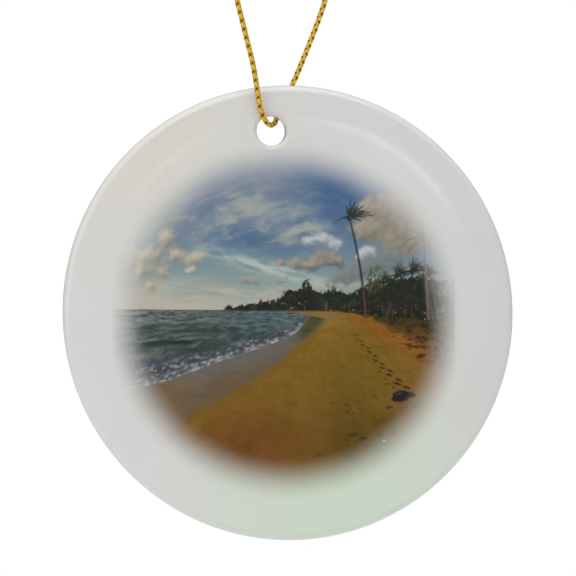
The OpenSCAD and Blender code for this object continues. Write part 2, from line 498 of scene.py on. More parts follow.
# ---- the printed picture: a beach painted by formula ----
# Every function takes points of the disc's plane, x to the right and z up, in mm
# from the disc's middle, and colours are sRGB from 0 to 255.
HORIZON = 0.6
SHORE = [(-29, -13.2), (-24.5, -12.1), (-18.7, -10.7), (-14.8, -9.2), (-10.9, -7.8),
         (-7, -6.5), (-3.2, -5.1), (0.4, -3.8), (1.9, -2.7), (2.9, -1.5), (3.4, -0.4), (3.7, 0.6)]
SURF_TOP = [(-29, -8.6), (-24.5, -8), (-20.6, -7.2), (-14.8, -6.2), (-10.9, -5.4),
            (-5.5, -4), (-1.2, -2.6), (1.8, -1.2), (3, -0.3), (3.4, 0.1)]
SAND_EDGE = [(-19.6, -26), (-18.4, -19.6), (-16.8, -17.4), (-14.8, -15.7), (-10.9, -13.7),
             (-5.5, -10.7), (-2, -8.5), (0, -6.9), (0.9, -5.6), (3.4, -4.1), (5.2, -2.4),
             (6.3, -1.2), (6.8, 0.8)]
FAR_SAND = [(-3, 0.62), (0, 0.38), (2, 0.16), (3.6, -0.15), (5, -0.45), (6.6, -0.8), (9, -1.6)]
TREE_TOPS = [(-10.2, 0.7), (-9.3, 1.3), (-8.4, 1.0), (-7, 1.4), (-5, 1.8), (-3, 2.1), (-1.4, 2.3),
             (-0.4, 3.1), (0.6, 3.9), (1.6, 3.4), (2.8, 4.9), (3.6, 5.0), (4.4, 3.9), (5.6, 3.4),
             (7, 3.9), (8.8, 4.1), (10, 3.0), (11.4, 3.6), (13.4, 4.8), (14.6, 5.9), (16, 5.3),
             (18, 5.6), (20, 5.9), (22.4, 6.2), (25, 5.6), (30, 5.0)]
TREE_FEET = [(-10.2, 0.5), (2, 0.5), (8, 0.5), (11, 0.2), (15, -0.2), (20, -0.5), (25, -1.2), (30, -2)]
BANK_FOOT = [(8, 0.5), (10.5, 0.1), (14.3, -1), (18.2, -3), (21.5, -5.2), (25, -8), (30, -12)]

# The gloss coat adds a little light to dark ink and takes some from light ink: both are undone
INK_VEIL = 0.013
INK_GAIN = 0.69
PICTURE_MIDDLE = (-0.8, -0.3)

# Random heights that all soft noise is drawn from
LATTICE_SIZE = 256
LATTICE = np.random.default_rng(11).random((LATTICE_SIZE, LATTICE_SIZE))
BRUSH_STEPS = 14


def noise(x, z, size, seed=0, octaves=4, stretch=1.0):
    """Soft noise from 0 to 1 with features of a size, longer by stretch along x."""
    height, weight, reach = 0.0, 0.5, 0.0
    u, v = x / (size * stretch) + 17.3 * seed, z / size + 41.7 * seed
    for _ in range(octaves):
        i, j = np.floor(u).astype(int), np.floor(v).astype(int)
        a, b = ease(0, 1, u - i), ease(0, 1, v - j)
        left, right = i % LATTICE_SIZE, (i + 1) % LATTICE_SIZE
        under, over = j % LATTICE_SIZE, (j + 1) % LATTICE_SIZE
        low = LATTICE[left, under] * (1 - a) + LATTICE[right, under] * a
        high = LATTICE[left, over] * (1 - a) + LATTICE[right, over] * a
        height = height + weight * (low * (1 - b) + high * b)
        reach += weight
        weight *= 0.5
        u, v = u * 2.03 + 5.1, v * 2.03 + 9.7
    return height / reach


def plain(x, colour):
    """One colour at every point."""
    return np.broadcast_to(np.asarray(colour, float), (len(x), 3))


def lay(under, colour, share):
    """Lays a colour over the picture so far, by a share from 0 to 1 at each point."""
    return under + (np.asarray(colour, float) - under) * share[:, None]


def outline(x, table):
    """The height of an outline at x, from its (x, height) points."""
    xs, zs = zip(*table)
    return np.interp(x, xs, zs)


def blot(x, z, middle, wide, tall, tilt=0.0):
    """A soft round blot: 1 at its middle, and next to nothing twice its size away."""
    u, v = x - middle[0], z - middle[1]
    return np.exp(-((u / wide) ** 2) - ((v - tilt * u) / tall) ** 2)


def spot(x, z, middle, wide, tall, tilt=0.0):
    """A small mark with a nearly sharp edge."""
    u, v = x - middle[0], z - middle[1]
    return ease(1.25, 0.7, np.hypot(u / wide, (v - tilt * u) / tall))


def stroke(x, z, points, start, end, soft=0.12):
    """How much of each point a brush stroke covers, start and end wide, along a line bent by three points."""
    a, b, c = np.array(points, float)
    t = np.linspace(0, 1, BRUSH_STEPS)[:, None]
    line = (1 - t) ** 2 * a + 2 * t * (1 - t) * b + t**2 * c
    cover = np.zeros(len(x))
    low, high = line.min(axis=0) - 0.8, line.max(axis=0) + 0.8
    near = np.flatnonzero((x > low[0]) & (x < high[0]) & (z > low[1]) & (z < high[1]))
    here = np.stack([x[near], z[near]], axis=1)
    count = len(line) - 1
    for k in range(count):
        p, q = line[k], line[k + 1]
        along = np.clip((here - p) @ (q - p) / max((q - p) @ (q - p), 1e-9), 0, 1)
        off = np.linalg.norm(here - p - along[:, None] * (q - p), axis=1)
        wide = start + (end - start) * (k + along) / count
        cover[near] = np.maximum(cover[near], 1 - ease(wide / 2 - soft, wide / 2 + soft, off))
    return cover


SKY_HEIGHTS = [0, 0.08, 0.22, 0.45, 0.72, 1]
SKY_SHADES = [[166, 146, 117, 98, 92, 112], [161, 157, 137, 118, 110, 124], [148, 149, 141, 137, 138, 144]]


def paint_sky(x, z):
    """Blue that pales and warms towards the horizon, with high combed cloud."""
    up = np.clip((z - HORIZON) / 26, 0, 1)
    sky = np.stack([np.interp(up, SKY_HEIGHTS, shade) for shade in SKY_SHADES], axis=1)
    sky = lay(sky, (182, 172, 154), 0.7 * ease(-4, -26, x) * ease(9, 0, z))
    sky = lay(sky, (57, 86, 126), 0.8 * blot(x, z, (8, 19), 6.5, 5.5, -0.3))
    sky = lay(sky, (70, 97, 129), 0.7 * blot(x, z, (-6, 11.8), 10, 2.2, -0.12))
    sky = lay(sky, (84, 104, 140), 0.5 * blot(x, z, (-14, 17), 4.5, 5))

    # High cloud: long streaks that fan out, thick in some places and thin in others
    warp_x = 2.4 * (noise(x, z, 4, 3, 5) - 0.5)
    warp_z = 2.4 * (noise(x, z, 4, 4, 5) - 0.5)
    way = 0.3 - 0.012 * (x + 8)
    u = (x + warp_x) * np.cos(way) + (z + warp_z) * np.sin(way)
    v = (z + warp_z) * np.cos(way) - (x + warp_x) * np.sin(way)
    streaks = noise(u, v, 0.7, 6, 5, 3.2)
    veil = noise(x + warp_x, z + warp_z, 3.2, 7, 6, 1.4)
    where = blot(x, z, (-9, 15.2), 16, 5.4, 0.08) + 0.9 * blot(x, z, (3, 12.6), 6, 2.4, 0.2)
    haze = 0.5 * blot(x, z, (-19, 14.5), 6, 4.5, 0.3) + 0.3 * blot(x, z, (-5, 21), 9, 4)
    high = np.clip(where * ease(0.34, 0.76, 0.5 * streaks + 0.5 * veil) + haze, 0, 1)
    sky = lay(sky, (158, 160, 149), 0.82 * high)

    # A lower pale band that falls to the right, and flat cloud above the horizon
    middle = 9.9 - 0.26 * (x + 13)
    band = np.exp(-(((z - middle) / 1.15) ** 2)) * ease(-17, -11, x) * ease(10, 4, x)
    feather = noise(x + 0.26 * z, z + 0.26 * x, 0.7, 8, 4, 4)
    sky = lay(sky, (168, 180, 170), 0.9 * band * ease(0.1, 0.65, feather))
    flat = ease(0.4, 0.64, noise(x, z, 0.75, 9, 5, 5)) * ease(6.5, 4, z)
    sky = lay(sky, (170, 162, 150), 0.75 * flat)
    shade = ease(0.5, 0.72, noise(x, z, 0.6, 10, 5, 6)) * ease(6, 3.5, z) * ease(0.7, 1.8, z)
    return lay(sky, (124, 128, 126), 0.35 * shade * ease(-22, -12, x))


def heap(x, z, blobs, seed):
    """How thick a heap of round cloud is: above 0 inside it, with ragged soft edges."""
    ragged_x = x + 1.5 * (noise(x, z, 1.5, seed, 4) - 0.5)
    ragged_z = z + 1.5 * (noise(x, z, 1.5, seed + 1, 4) - 0.5)
    thick = np.full(len(x), 0.0)
    for bx, bz, r in blobs:
        thick = thick + np.exp(-1.5 * ((ragged_x - bx) ** 2 + 1.3 * (ragged_z - bz) ** 2) / r**2)
    return np.minimum(thick, 1.3) - 0.3 + 0.45 * (noise(x, z, 0.9, seed + 2, 5) - 0.5)


CLOUDS = [
    # round parts (x, z, radius), lit colour, shaded colour, seed, edge softness, cover
    ([(16.6, 16, 5), (12.8, 13.6, 2.8), (20.4, 18, 4.6), (19, 11.8, 4), (24, 14, 4.6), (13, 17.4, 1.6)],
     (158, 147, 131), (114, 110, 99), 18, 0.55, 0.95),
    ([(9.8, 6.2, 2), (12.6, 7.6, 2.4), (17, 8.8, 3), (7.4, 5.4, 1.2)],
     (126, 128, 124), (92, 100, 104), 21, 0.45, 0.85),
    ([(5.6, 12.4, 1.5), (8, 11.6, 1.7), (3.6, 11.6, 1.2), (13.5, 10.4, 1.5), (12.2, 9.6, 1)],
     (182, 186, 184), (146, 154, 158), 24, 0.6, 0.85),
    ([(-19.2, 12.2, 2.1), (-21.8, 9.2, 2.7), (-17.8, 9.2, 2), (-14.6, 9, 2.2), (-23.6, 6.6, 2.1),
      (-20, 6.6, 1.7), (-25, 9.4, 2), (-15.4, 6.8, 1.1), (-21.6, 4.3, 1.3)],
     (194, 179, 157), (122, 120, 113), 12, 0.7, 0.85),
    ([(6, 9.1, 2.3), (8.3, 8.4, 1.7), (1.6, 8, 1.7), (3.8, 7.8, 1.5), (-0.8, 8.1, 1)],
     (150, 139, 126), (90, 94, 98), 15, 0.5, 0.9),
    ([(-7, 5.2, 1.1), (-5.4, 5.2, 1), (-1.4, 5.3, 0.9), (-0.3, 5.5, 0.7), (6.3, 5, 0.8), (7.6, 4.9, 0.7)],
     (146, 146, 138), (108, 116, 118), 27, 0.4, 0.8),
]


def paint_clouds(x, z, sky):
    """Heaps of cloud, lit from the upper left."""
    for blobs, bright, shade, seed, soft, cover in CLOUDS:
        thick = heap(x, z, blobs, seed)
        towards_light = heap(x - 0.45, z + 0.65, blobs, seed)
        rough = noise(x, z, 1.2, seed + 3, 4) - 0.5
        lit = np.clip(0.5 + 0.95 * (thick - towards_light) + 0.5 * rough, 0, 1)
        colour = np.array(shade) + (np.array(bright) - shade) * lit[:, None]
        sky = sky + (colour - sky) * (cover * ease(-0.1, soft, thick))[:, None]
    return sky


# Swells far out: height, tilt, left and right ends, darkness
SWELLS = [(-4.7, 0.05, -27, -11, 0.85), (-3, 0.05, -21, 0, 0.4), (-2, 0.03, -27, -8, 0.35)]


def paint_sea(x, z, picture):
    """Choppy water in rows that widen towards the viewer, and the wave that breaks on the shore."""
    depth = np.clip((HORIZON - z) / 12, 0.02, 1)
    row = 0.12 + 1.25 * depth
    ripple = noise(x / (0.35 + row), z / row, 0.3, 31, 4, 4.5)
    chop = noise(x / (0.5 + row), z / row, 0.7, 32, 4, 3.6)
    sea = lay(plain(x, (86, 93, 93)), (60, 70, 67), ease(0.05, 0.5, depth))
    sea = lay(sea, (72, 100, 112), 0.5 * ease(-14, -2, x) * ease(-4.5, -1, z))
    sea = lay(sea, (44, 60, 62), 0.6 * ease(0.5, 0.3, chop))
    sea = lay(sea, (118, 123, 119), 0.5 * ease(0.5, 0.72, ripple))
    sea = lay(sea, (46, 58, 58), 0.4 * ease(0.45, 0.3, ripple))
    sea = lay(sea, (160, 158, 152), 0.45 * ease(-11, -27, x) * ease(0.42, 0.66, chop))
    for crest, tilt, left, right, dark in SWELLS:
        line = crest + tilt * (x + 18) + 0.7 * (noise(x, 0 * z, 2.2, 33, 3) - 0.5)
        span = ease(left, left + 5, x) * ease(right, right - 6, x) * (0.4 + 0.9 * ease(0.3, 0.6, chop))
        hollow = dark * span * np.exp(-(((z - line) / 0.4) ** 2))
        glint = 0.45 * dark * span * np.exp(-(((z - line - 0.5) / 0.2) ** 2))
        sea = lay(sea, (34, 54, 42), np.clip(hollow, 0, 1))
        sea = lay(sea, (138, 150, 144), np.clip(glint, 0, 1))

    # Along the shore: u runs with the wave and v across it
    u, v = (x + 0.36 * z) / 1.06, (z - 0.36 * x) / 1.06
    top, shore = outline(x, SURF_TOP), outline(x, SHORE)
    span = np.maximum(top - shore, 0.05)
    near = np.clip(span / 4.6, 0.16, 1)
    froth = noise(u, v, 0.34, 35, 5, 1.9)
    lumps = noise(u, v, 0.9, 37, 4, 2.2)
    share = (z - shore) / span + 0.5 * (lumps - 0.5)
    surf = ease(1.15, 0.75, share)
    sea = lay(sea, (74, 78, 82), 0.85 * surf)
    sea = lay(sea, (58, 61, 76), 0.7 * surf * ease(0.56, 0.36, froth) * ease(0.15, 0.5, share))
    sea = lay(sea, (126, 129, 133), 0.5 * surf * ease(0.5, 0.68, froth))
    sea = lay(sea, (182, 182, 178), 0.35 * surf * ease(0.6, 0.74, froth) * ease(1.1, 0.5, share))
    outer = z - shore - 1.3 * near - 0.6 * (lumps - 0.5)
    lace = np.exp(-(((z - shore - 0.25 * near) / (0.26 * near + 0.06)) ** 2))
    lace = lace + 0.7 * np.exp(-((outer / (0.3 * near + 0.05)) ** 2))
    sea = lay(sea, (174, 172, 165), np.clip(lace, 0, 1) * ease(0.2, 0.66, froth) * 0.72)
    ragged = z + 0.3 * (noise(x, z, 0.8, 36, 3) - 0.5)
    picture = picture + (sea - picture) * (ease(-0.12, 0.12, ragged - shore) * ease(3.6, 3.2, x))[:, None]
    strip = ease(-0.1, 0.08, z - outline(x, FAR_SAND)) * ease(-3.2, -1.5, x) * ease(9, 7.5, x)
    return lay(picture, (124, 98, 56), strip)


def paint_sand(x, z):
    """Dry sand that darkens and reddens towards the viewer, and wet sand along the water."""
    edge = outline(x, SAND_EDGE)
    sand = lay(plain(x, (119, 91, 39)), (132, 100, 48), 0.9 * blot(x, z, (8, -1.5), 5, 2.8))
    sand = lay(sand, (104, 84, 34), 0.8 * blot(x, z, (12, -10), 7, 6))
    sand = lay(sand, (84, 68, 33), 0.9 * blot(x, z, (11, -20), 8, 6))
    sand = lay(sand, (102, 66, 36), 0.9 * blot(x, z, (-6, -21.5), 11, 7))
    sand = lay(sand, (132, 84, 36), 0.8 * ease(0.3, 3.8, z + 0.5 * (x - 8) + 2.6) * ease(8, 14, x))
    sand = lay(sand, (120, 84, 50), 0.6 * ease(14, 22, x) * ease(-6, -12, z))
    drift = noise(x + 0.8 * z, z, 1.5, 41, 4, 3)
    sand = lay(sand, (88, 66, 30), 0.22 * ease(0.55, 0.3, drift))
    far = np.hypot(x - 5, z - 1.2)
    combed = noise(np.log(far + 0.6) * 3, np.arctan2(z - 1.2, x - 5) * 9, 0.5, 45, 4)
    sand = sand + 9 * (combed - 0.5)[:, None] + 9 * (noise(x, z, 0.3, 42, 3, 1.8) - 0.5)[:, None]

    wet = lay(plain(x, (98, 84, 66)), (96, 96, 94), 0.85 * ease(-4.6, 0, z - outline(x, SHORE)))
    wet = lay(wet, (112, 88, 66), 0.7 * ease(-12, -20, x))
    wet = wet + 12 * (noise(x + 2.4 * z, z, 0.5, 43, 4, 4) - 0.5)[:, None]
    shallows = np.clip(1.6 * blot(x, z, (4.2, -1.6), 2.2, 1.1, 0.75), 0, 1)
    wet = lay(wet, (72, 76, 46), shallows)
    wet = lay(wet, (52, 60, 40), 0.6 * ease(0.5, 0.32, noise(x, z, 0.5, 46, 3, 3)) * shallows)
    soft_edge = z + 0.4 * (noise(x, z, 1.6, 44, 3) - 0.5) * ease(6, 3, x) - edge
    damp = np.exp(-(((soft_edge + 0.7) / 0.9) ** 2)) * ease(6.6, 3.8, x)
    sand = lay(sand, (108, 80, 42), 0.5 * damp)
    wet_share = ease(-0.35, 0.35, soft_edge) * ease(6.8, 6.5, x)
    return sand + (wet - sand) * wet_share[:, None]


def paint_bank(x, z, picture):
    """The low bank under the trees, with grass on it and weed strewn on the sand below."""
    foot = outline(x, BANK_FOOT) + 1.3 * (noise(x, z, 1.0, 51, 4) - 0.5)
    brush = noise(x, z, 0.42, 52, 5, 1.8)
    cover = ease(-0.3, 0.6, z - foot) * ease(8, 10.5, x) * ease(1.6, 0.6, z)
    picture = lay(picture, (106, 70, 40), cover * 0.92)
    grass = ease(-4.5, -1, z + 0.12 * (x - 20)) * cover
    picture = lay(picture, (56, 52, 32), grass * 0.8)
    picture = lay(picture, (36, 32, 24), cover * 0.6 * ease(0.52, 0.34, brush))
    picture = lay(picture, (112, 76, 50), cover * 0.5 * ease(0.54, 0.72, brush) * ease(-2, -4, z))
    weed = noise(x, z, 0.36, 53, 3, 2.2)
    below = z - outline(x, BANK_FOOT)
    scatter = ease(0.6, 0.72, weed) * ease(-2.8, -0.2, below) * ease(1.2, 0.2, below) * ease(12, 16, x)
    return lay(picture, (58, 38, 28), 0.75 * scatter)


def paint_trees(x, z, picture):
    """Dark woods along the shore, with ragged tops, trunks and light between them."""
    tops, above_feet = outline(x, TREE_TOPS), z - outline(x, TREE_FEET)
    tufts = noise(x * 2 - z, z * 0.7 + x * 0.4, 0.42, 62, 3)
    ragged = 1.3 * (noise(x, z, 0.8, 61, 4) - 0.5) + 1.5 * (tufts - 0.5)
    grown = ease(-9.5, -1, x)
    tree = ease(0.14, -0.14, z - tops - ragged * (0.3 + 0.7 * grown))
    tree = tree * ease(-0.15, 0.1, above_feet) * ease(-10.4, -9.6, x)
    leaves = noise(x, z, 0.5, 63, 4)
    picture = lay(picture, (36, 38, 33), tree * 0.96)
    picture = lay(picture, (68, 70, 54), tree * 0.5 * ease(0.55, 0.74, leaves))
    low = ease(2.4, 0.2, above_feet) * tree
    trunks = ease(0.66, 0.8, noise(x, z * 0.12, 0.26, 65, 2))
    picture = lay(picture, (104, 84, 58), 0.6 * low * trunks * ease(-2, 4, x))
    brush = ease(0.58, 0.74, noise(x, z, 0.6, 64, 3))
    picture = lay(picture, (98, 62, 44), 0.55 * low * brush * ease(7, 10, x))
    gleam = ease(0.8, 0.88, noise(x, z, 0.34, 66, 2)) * ease(1.5, 0.5, np.abs(above_feet - 0.6))
    picture = lay(picture, (188, 172, 120), 0.8 * gleam * ease(-3, 0, x) * tree)
    far_right = ease(22.5, 26, x) * ease(6, 2, np.abs(z - 2.5))
    return lay(picture, (176, 160, 130), 0.5 * far_right * ease(0.5, 0.7, noise(x, z, 0.6, 67, 3)))


# Fronds of a palm in the wind: where each ends, how it arches, and its width
WIND_BLOWN = [(-2.4, -0.9, 0.9, 0.34), (-1.2, -0.2, 0.7, 0.3), (-0.5, 1.9, 0.1, 0.5),
              (0.2, 2.6, 0.1, 0.5), (0.9, 2.5, 0.3, 0.55), (1.5, 2.0, 0.5, 0.55),
              (2.3, 1.9, 0.5, 0.5), (2.4, 1.1, 0.7, 0.6), (3.2, 0.9, 0.7, 0.5),
              (3.9, 0.3, 0.9, 0.42), (2.6, 0.1, 0.5, 0.5), (1.9, -0.5, 0.4, 0.4), (1.1, 1.0, 0.3, 0.9)]
# Small palms: foot, bow of the trunk, crown, size
SMALL_PALMS = [
    ((18.4, 0), (19, 3.2), (18, 6.2), 0.8), ((21, -0.2), (20.4, 3.6), (20.5, 6.9), 0.85),
    ((24.6, -1), (23.8, 3.6), (22.5, 6.3), 0.75), ((16.3, 0), (15.8, 3), (15.8, 5.2), 0.6),
    ((21.8, -0.4), (21.6, 3), (21.4, 5), 0.6),
]
PALE_FRONDS = [
    ((22.4, 12.4), (20.4, 12.7), (19.2, 11.4)), ((22.4, 12.5), (21, 13.8), (19.6, 13.5)),
    ((22.4, 12.3), (21, 11.4), (19.8, 9.9)), ((22.4, 12.6), (21.6, 15), (20.2, 15.6)),
    ((22.4, 12.5), (22, 14.6), (22.6, 15.8)),
]


def paint_palm(x, z, picture, foot, bow, crown, size, colour):
    """A palm: a bowed trunk that narrows upwards, and a crown that the wind blows to the right."""
    cover = stroke(x, z, [foot, bow, crown], 0.44 * size, 0.24 * size)
    cx, cz = crown
    for tx, tz, arch, wide in WIND_BLOWN:
        end = (cx + size * tx, cz + size * tz)
        knee = (cx + size * tx * 0.5, cz + size * (tz * 0.5 + arch * 0.8))
        comb = noise(x * 1.3 + z, (z - x) * 0.8, 0.3 * size, 71, 2)
        leaf = stroke(x, z, [crown, knee, end], 1.1 * wide * size, 0.25 * wide * size)
        cover = np.maximum(cover, leaf * ease(0.12, 0.36, comb))
    return lay(picture, colour, 0.95 * cover)


def paint_palms(x, z, picture):
    """One tall palm, smaller ones behind it among feathery bushes, and a pale one at the right."""
    feathery = noise(x * 1.7 - z * 0.9, z * 0.5 + x * 0.35, 0.36, 72, 4)
    bush = blot(x, z, (14.6, 5.6), 2.1, 2.2, 0.15)
    picture = lay(picture, (78, 80, 60), 0.9 * ease(0.18, 0.6, bush) * ease(0.4, 0.58, feathery))
    for foot, bow, crown, size in SMALL_PALMS:
        picture = paint_palm(x, z, picture, foot, bow, crown, size, (42, 42, 37))
    for shift in (0, 0.9):
        trunk = [(23.9 + shift, -0.6), (23.2 + shift, 3), (22.6 + shift, 9 - 3 * shift)]
        picture = lay(picture, (104, 82, 62), 0.6 * stroke(x, z, trunk, 0.42, 0.2))
    for line in PALE_FRONDS:
        picture = lay(picture, (98, 96, 80), 0.6 * stroke(x, z, line, 0.5, 0.25, 0.2))
    trunk = stroke(x, z, [(23.2, -0.6), (22.8, 6), (22.4, 12.4)], 0.5, 0.3)
    picture = lay(picture, (112, 102, 86), 0.75 * trunk)
    picture = paint_palm(x, z, picture, (12.9, 0.1), (12.3, 8.2), (10.3, 15.5), 1.0, (46, 44, 38))
    lit = stroke(x, z, [(13.0, -0.4), (12.75, 2.6), (12.3, 5.6)], 0.3, 0.2)
    return lay(picture, (94, 76, 56), 0.7 * lit)


# Things left on the sand: x, z, size, darkness
LITTER = [
    (15.2, -19.4, 0.34, 0.75), (12.6, -19.9, 0.4, 0.5), (10.8, -19.3, 0.55, 0.5),
    (13.2, -21, 0.3, 0.6), (5.4, -22.6, 0.2, 0.85), (17.6, -19.2, 0.4, 0.5),
    (22, -6.6, 0.55, 0.8), (21.2, -5.1, 0.4, 0.7), (16.8, -14.9, 0.4, 0.6),
]
# The lobes of the rock: x, z, half width, half height
ROCK = [(18.7, -13.1, 1.35, 0.95), (19.9, -12.9, 1.1, 0.45), (17.9, -13.5, 0.8, 0.5)]
FOOTPRINTS = 17
PEBBLES = 46


def paint_marks(x, z, picture):
    """Footprints that come towards the viewer, a dark rock, and small things left on the sand."""
    rng = np.random.default_rng(5)
    for trail, (shift, grow, dark) in enumerate(((0.0, 1.0, 0.85), (-1.0, 0.6, 0.45))):
        for k in range(FOOTPRINTS):
            t = k / (FOOTPRINTS - 1)
            px = 10.8 + shift * (0.3 + t) + 8.4 * t**1.3 + rng.uniform(-0.15, 0.15)
            pz = -2.4 - 9.3 * t**1.12 + rng.uniform(-0.1, 0.1)
            px += 0.3 * (0.4 + t) * (-1) ** (k + trail)
            size = (0.13 + 0.36 * t) * grow
            hollow = dark * spot(x, z, (px, pz), 1.3 * size, 0.5 * size, -0.3)
            lip = 0.25 * dark * spot(x, z, (px, pz - 0.7 * size), 1.2 * size, 0.25 * size, -0.3)
            picture = lay(picture, (54, 42, 28), hollow)
            picture = lay(picture, (140, 106, 58), lip)
    for _ in range(PEBBLES):
        place = (rng.uniform(7.5, 20), rng.uniform(-21, -5))
        size = rng.uniform(0.1, 0.26) * (0.6 - place[1] / 22)
        dark, tilt = rng.uniform(0.25, 0.6), rng.uniform(-0.2, 0.3)
        picture = lay(picture, (66, 50, 30), dark * spot(x, z, place, 1.7 * size, 0.5 * size, tilt))
    for px, pz, size, dark in LITTER:
        picture = lay(picture, (46, 40, 30), dark * spot(x, z, (px, pz), 1.5 * size, 0.6 * size, 0.2))
    picture = lay(picture, (74, 62, 42), 0.5 * blot(x, z, (17, -16.6), 2, 0.9, 0.35))
    wobble = 0.35 * (noise(x, z, 0.7, 81, 3) - 0.5)
    picture = lay(picture, (82, 78, 74), 0.6 * blot(x, z, (21, -14.6), 1.6, 0.5, -0.35))
    for px, pz, wide, tall in ROCK:
        away = np.hypot((x - px) / wide, (z - pz) / tall)
        picture = lay(picture, (38, 40, 38), 0.95 * ease(1.15, 0.85, away + wobble))
    picture = lay(picture, (84, 76, 62), 0.4 * spot(x, z, (18.4, -12.7), 0.6, 0.2, 0.2))
    return lay(picture, (214, 204, 184), 0.85 * spot(x, z, (15.9, -20.3), 0.24, 0.15))


def paint_part(painter, where, x, z, picture):
    """Runs one painter over part of the picture."""
    picture[where] = painter(x[where], z[where], picture[where])


def paint_beach(x, z):
    """The whole picture, as sRGB colours from 0 to 1."""
    above, below = z > HORIZON - 0.06, z < HORIZON + 0.06
    sky, ground = np.zeros((len(x), 3)), np.zeros((len(x), 3))
    sky[above] = paint_clouds(x[above], z[above], paint_sky(x[above], z[above]))
    sky = lay(sky, (168, 164, 152), 0.4 * ease(3, 0.4, z) * ease(8, -4, x))
    ground[below] = paint_sand(x[below], z[below])
    paint_part(paint_marks, z < -1.5, x, z, ground)
    paint_part(paint_sea, below & (z > -14) & (x < 9), x, z, ground)
    level = ease(-0.06, 0.06, z - HORIZON)
    picture = ground + (sky - ground) * level[:, None]
    paint_part(paint_bank, (x > 8) & (z < 1.6), x, z, picture)
    paint_part(paint_trees, (x > -10.5) & (z > -3) & (z < 9), x, z, picture)
    paint_part(paint_palms, (x > 6) & (z > -2), x, z, picture)
    return np.clip(picture, 0, 255) / 255


def ink(x, z):
    """How much ink there is: all of it in the middle and none near the rim, with a soft round edge."""
    r = np.hypot(x + 0.1, z + 1.0)
    angle = np.arctan2(z, x)
    reach = 27.6 + 0.3 * np.cos(angle) + 0.3 * np.cos(2 * angle + 0.4)
    round_edge = ease(reach + 1.7, reach - 5.4, r + 0.5 * (noise(x, z, 5, 91, 2) - 0.5))
    sides = ease(27.9, 27.2, x) * ease(-28.3, -27.5, x)
    return round_edge * (0.25 + 0.75 * sides)


# ---- the disc: fine points where the picture is, and rings round the rim and the hole ----
FINE_R = 30.6
FINE_STEP = 0.2
COARSE_R = 34.0
COARSE_STEP = 1.6
# A three-way grid's rows are this share of a step apart, and stay a margin inside its edges
GRID_ROW = 0.8660254
GRID_MARGIN = 0.6
RIM_RINGS = [30.9, 31.3, 31.7, 32.1, 32.6, 33.013, 33.8, 34.7, 35.2]
RIM_SIDES = 720
EDGE_RINGS = [35.52, 35.44, 35.336]
EDGE_STEPS = 12
LIP_STEPS = 10
LIP_CLEARANCE = 0.14
DISC_SIDES = 360
HOLE_SIDES = 120
WELD_REACH = 0.002
SHARP_ANGLE = math.radians(38)
COAT_LIP_SHARE = math.acos(1 - COAT_T / HOLE_LIP) / (math.pi / 2)
SLOPE_START_R = FLAT_R + BEND_R * math.sin(RIM_SLOPE)
SLOPE_START_DROP = BEND_R * (1 - math.cos(RIM_SLOPE))
EDGE_CENTRE_R = DISC_R - EDGE_R
EDGE_TOP_R = EDGE_CENTRE_R + EDGE_R * math.sin(RIM_SLOPE)
EDGE_TOP_DROP = SLOPE_START_DROP + (EDGE_TOP_R - SLOPE_START_R) * math.tan(RIM_SLOPE)


def front_drop(r):
    """How far the front falls away behind its flat middle, at a distance from the axis."""
    over = np.clip(r - FLAT_R, 0, BEND_R * math.sin(RIM_SLOPE))
    bend = BEND_R - np.sqrt(BEND_R**2 - over**2)
    slope = np.clip(np.minimum(r, EDGE_TOP_R) - SLOPE_START_R, 0, None) * math.tan(RIM_SLOPE)
    out = np.clip(r, EDGE_TOP_R, None) - EDGE_CENTRE_R
    edge = EDGE_R * math.cos(RIM_SLOPE) - np.sqrt(EDGE_R**2 - out**2)
    return bend + slope + edge


def circle(radius, count, middle=(0.0, 0.0)):
    """Points of a circle in the disc's plane."""
    turn = 2 * math.pi * np.arange(count) / count
    return np.stack([middle[0] + radius * np.cos(turn), middle[1] + radius * np.sin(turn)], axis=1)


def at_height(flat, y):
    """Points of the disc's plane at a height y, or one height for each."""
    return np.stack([flat[:, 0], np.broadcast_to(y, len(flat)), flat[:, 1]], axis=1)


def at_front(flat, sink=0.0):
    """Points of the disc's plane on its front, or sunk by a depth below it."""
    return at_height(flat, -(HALF_T - front_drop(np.hypot(*flat.T)) - sink))


def honeycomb(step, radius):
    """An even three-way grid of points in a circle, clear of the hole."""
    most_rows, most_cols = int(radius / (step * GRID_ROW)) + 1, int(radius / step) + 2
    rows = np.arange(-most_rows, most_rows + 1)
    cols = np.arange(-most_cols, most_cols + 1)
    x = cols[None] * step + (rows[:, None] % 2) * step / 2
    z = np.broadcast_to(rows[:, None] * step * GRID_ROW, x.shape)
    flat = np.stack([x.ravel(), z.ravel()], axis=1)
    keep = np.hypot(*flat.T) < radius - step * GRID_MARGIN
    keep &= np.hypot(*(flat - HOLE).T) > LIP_R + step * GRID_MARGIN
    return flat[keep]



def filled(rings, inside, hole):
    """Triangles of the disc's plane between the first ring and the hole, through all the points given."""
    flats = [*rings, hole, inside]
    starts = np.cumsum([0] + [len(f) for f in flats])
    edges = []
    for k in range(len(rings) + 1):
        count = len(flats[k])
        edges += [(int(starts[k] + i), int(starts[k] + (i + 1) % count)) for i in range(count)]
    points = np.vstack(flats)
    faces = np.array(delaunay_2d_cdt([Vector(p) for p in points], edges, [], 0, 1e-9)[2])
    middles = points[faces].mean(axis=1) - HOLE
    hole_reach = np.linalg.norm(hole - HOLE, axis=1).min() * math.cos(math.pi / len(hole))
    return points, faces[np.hypot(*middles.T) > hole_reach]


def banded(rings):
    """Quads between closed rings of points, all of one count, in order."""
    count = len(rings[0])
    faces = []
    for i in range(len(rings) - 1):
        low, high = i * count, (i + 1) * count
        faces += ring_quads(low, high, count)
    return np.vstack(rings), faces


